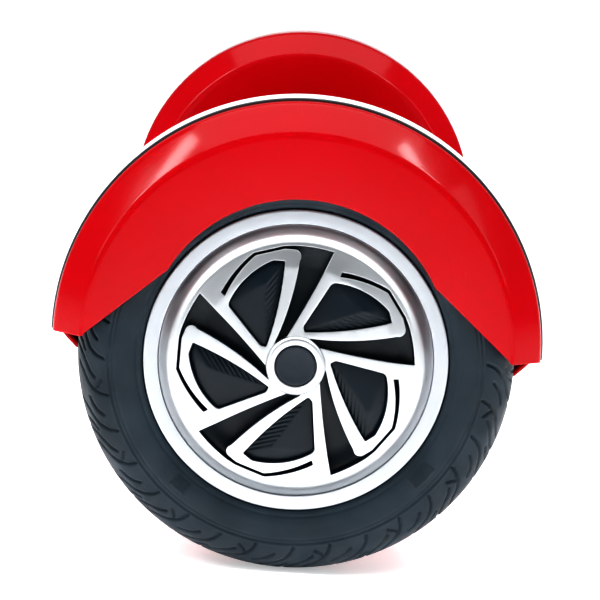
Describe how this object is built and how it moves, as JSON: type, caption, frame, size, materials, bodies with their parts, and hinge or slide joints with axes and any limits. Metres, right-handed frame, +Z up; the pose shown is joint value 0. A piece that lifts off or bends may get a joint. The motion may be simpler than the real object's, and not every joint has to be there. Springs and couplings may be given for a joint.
{
  "type": "self-balancing two-wheel board",
  "caption": "Two-wheel self-balancing board: twisting halves on a pivot, hub-motor wheels, arched fenders with a light strip, and sprung foot mats.",
  "frame": {"origin": "on the ground below the middle of the board, under the line of the wheel axles", "axes": "+X along the axle line towards the left-foot wheel, -Y towards the front, +Z up"},
  "size_m": [0.64, 0.2308, 0.2234],
  "materials": {
    "tyre": "matt moulded rubber",
    "rim_alloy": "diamond-turned",
    "face_alloy": "diamond-turned and lacquered",
    "wheel_black": "gloss black",
    "cover_alloy": "as cast",
    "magnet": "nickel plated",
    "bearing_steel": "ground",
    "steel": "machined",
    "lamination": "laminated",
    "copper": "enamelled copper wire",
    "cast_frame": "as cast",
    "shell_red": "gloss red",
    "gasket": "satin black",
    "light_guide": "opal white",
    "mat_rubber": "moulded",
    "circuit_board": "solder mask",
    "lamp_lens": "clear",
    "status_lens": "frosted",
    "bronze": "sintered",
    "battery": "shrink wrapped",
    "speaker": "black",
    "button": "satin silver",
    "socket_black": "black"
  },
  "bodies": {
    "left_half": {"axle_left": "steel", "stator_left": "lamination", "windings_left": "copper", "frame_left": "cast_frame", "axle_clamp_left": "cast_frame", "clamp_bolts_left": "steel", "upper_shell_left": "shell_red", "lower_shell_left": "shell_red", "fender_cover_left": "shell_red", "fender_gasket_left": "gasket", "fender_light_strip_left": "light_guide", "sensor_board_left": "circuit_board", "headlight_lens_left": "lamp_lens", "headlight_board_left": "circuit_board", "shell_screws_left": "steel", "pivot_shaft": "steel", "pivot_retainer": "steel", "battery_pack": "battery", "speaker": "speaker", "indicator_lens": "status_lens"},
    "right_half": {"axle_right": "steel", "stator_right": "lamination", "windings_right": "copper", "frame_right": "cast_frame", "axle_clamp_right": "cast_frame", "clamp_bolts_right": "steel", "upper_shell_right": "shell_red", "lower_shell_right": "shell_red", "fender_cover_right": "shell_red", "fender_gasket_right": "gasket", "fender_light_strip_right": "light_guide", "sensor_board_right": "circuit_board", "headlight_lens_right": "lamp_lens", "headlight_board_right": "circuit_board", "shell_screws_right": "steel", "pivot_bushes": "bronze", "main_board": "circuit_board", "charge_socket": "socket_black"},
    "wheel_left": {"tyre_left": "tyre", "wheel_rim_left": "rim_alloy", "motor_cover_outer_left": "wheel_black", "wheel_face_left": "face_alloy", "hub_cap_left": "wheel_black", "motor_cover_inner_left": "cover_alloy", "magnet_ring_left": "magnet", "hub_bearings_left": "bearing_steel", "cover_screws_left": "steel"},
    "wheel_right": {"tyre_right": "tyre", "wheel_rim_right": "rim_alloy", "motor_cover_outer_right": "wheel_black", "wheel_face_right": "face_alloy", "hub_cap_right": "wheel_black", "motor_cover_inner_right": "cover_alloy", "magnet_ring_right": "magnet", "hub_bearings_right": "bearing_steel", "cover_screws_right": "steel"},
    "foot_mat_left": {"foot_mat_left": "mat_rubber"},
    "foot_mat_right": {"foot_mat_right": "mat_rubber"},
    "power_button": {"power_button": "button"},
    "charge_cap": {"charge_cap": "mat_rubber"}
  },
  "joints": [
    {"name": "twist", "type": "hinge", "parent": "left_half", "child": "right_half", "pos_m": [0, 0, 0.102], "axis": [1, 0, 0], "range_deg": [-12, 12]},
    {"name": "wheel_left_spin", "type": "hinge", "parent": "left_half", "child": "wheel_left", "pos_m": [0.286, 0, 0.102], "axis": [1, 0, 0], "continuous": true},
    {"name": "wheel_right_spin", "type": "hinge", "parent": "right_half", "child": "wheel_right", "pos_m": [-0.286, 0, 0.102], "axis": [1, 0, 0], "continuous": true},
    {"name": "foot_mat_left_press", "type": "slide", "parent": "left_half", "child": "foot_mat_left", "axis": [0, 0, 1], "range_m": [-0.0015, 0], "stiffness_N_per_m": 4000, "springref_m": 0.002},
    {"name": "foot_mat_right_press", "type": "slide", "parent": "right_half", "child": "foot_mat_right", "axis": [0, 0, 1], "range_m": [-0.0015, 0], "stiffness_N_per_m": 4000, "springref_m": 0.002},
    {"name": "power_button_press", "type": "slide", "parent": "right_half", "child": "power_button", "axis": [0, 0, 1], "range_m": [0, 0.001], "stiffness_N_per_m": 600, "springref_m": -0.001},
    {"name": "charge_cap_hinge", "type": "hinge", "parent": "right_half", "child": "charge_cap", "pos_m": [-0.16, 0.032, 0.0376], "axis": [1, 0, 0], "range_deg": [0, 110]}
  ]
}
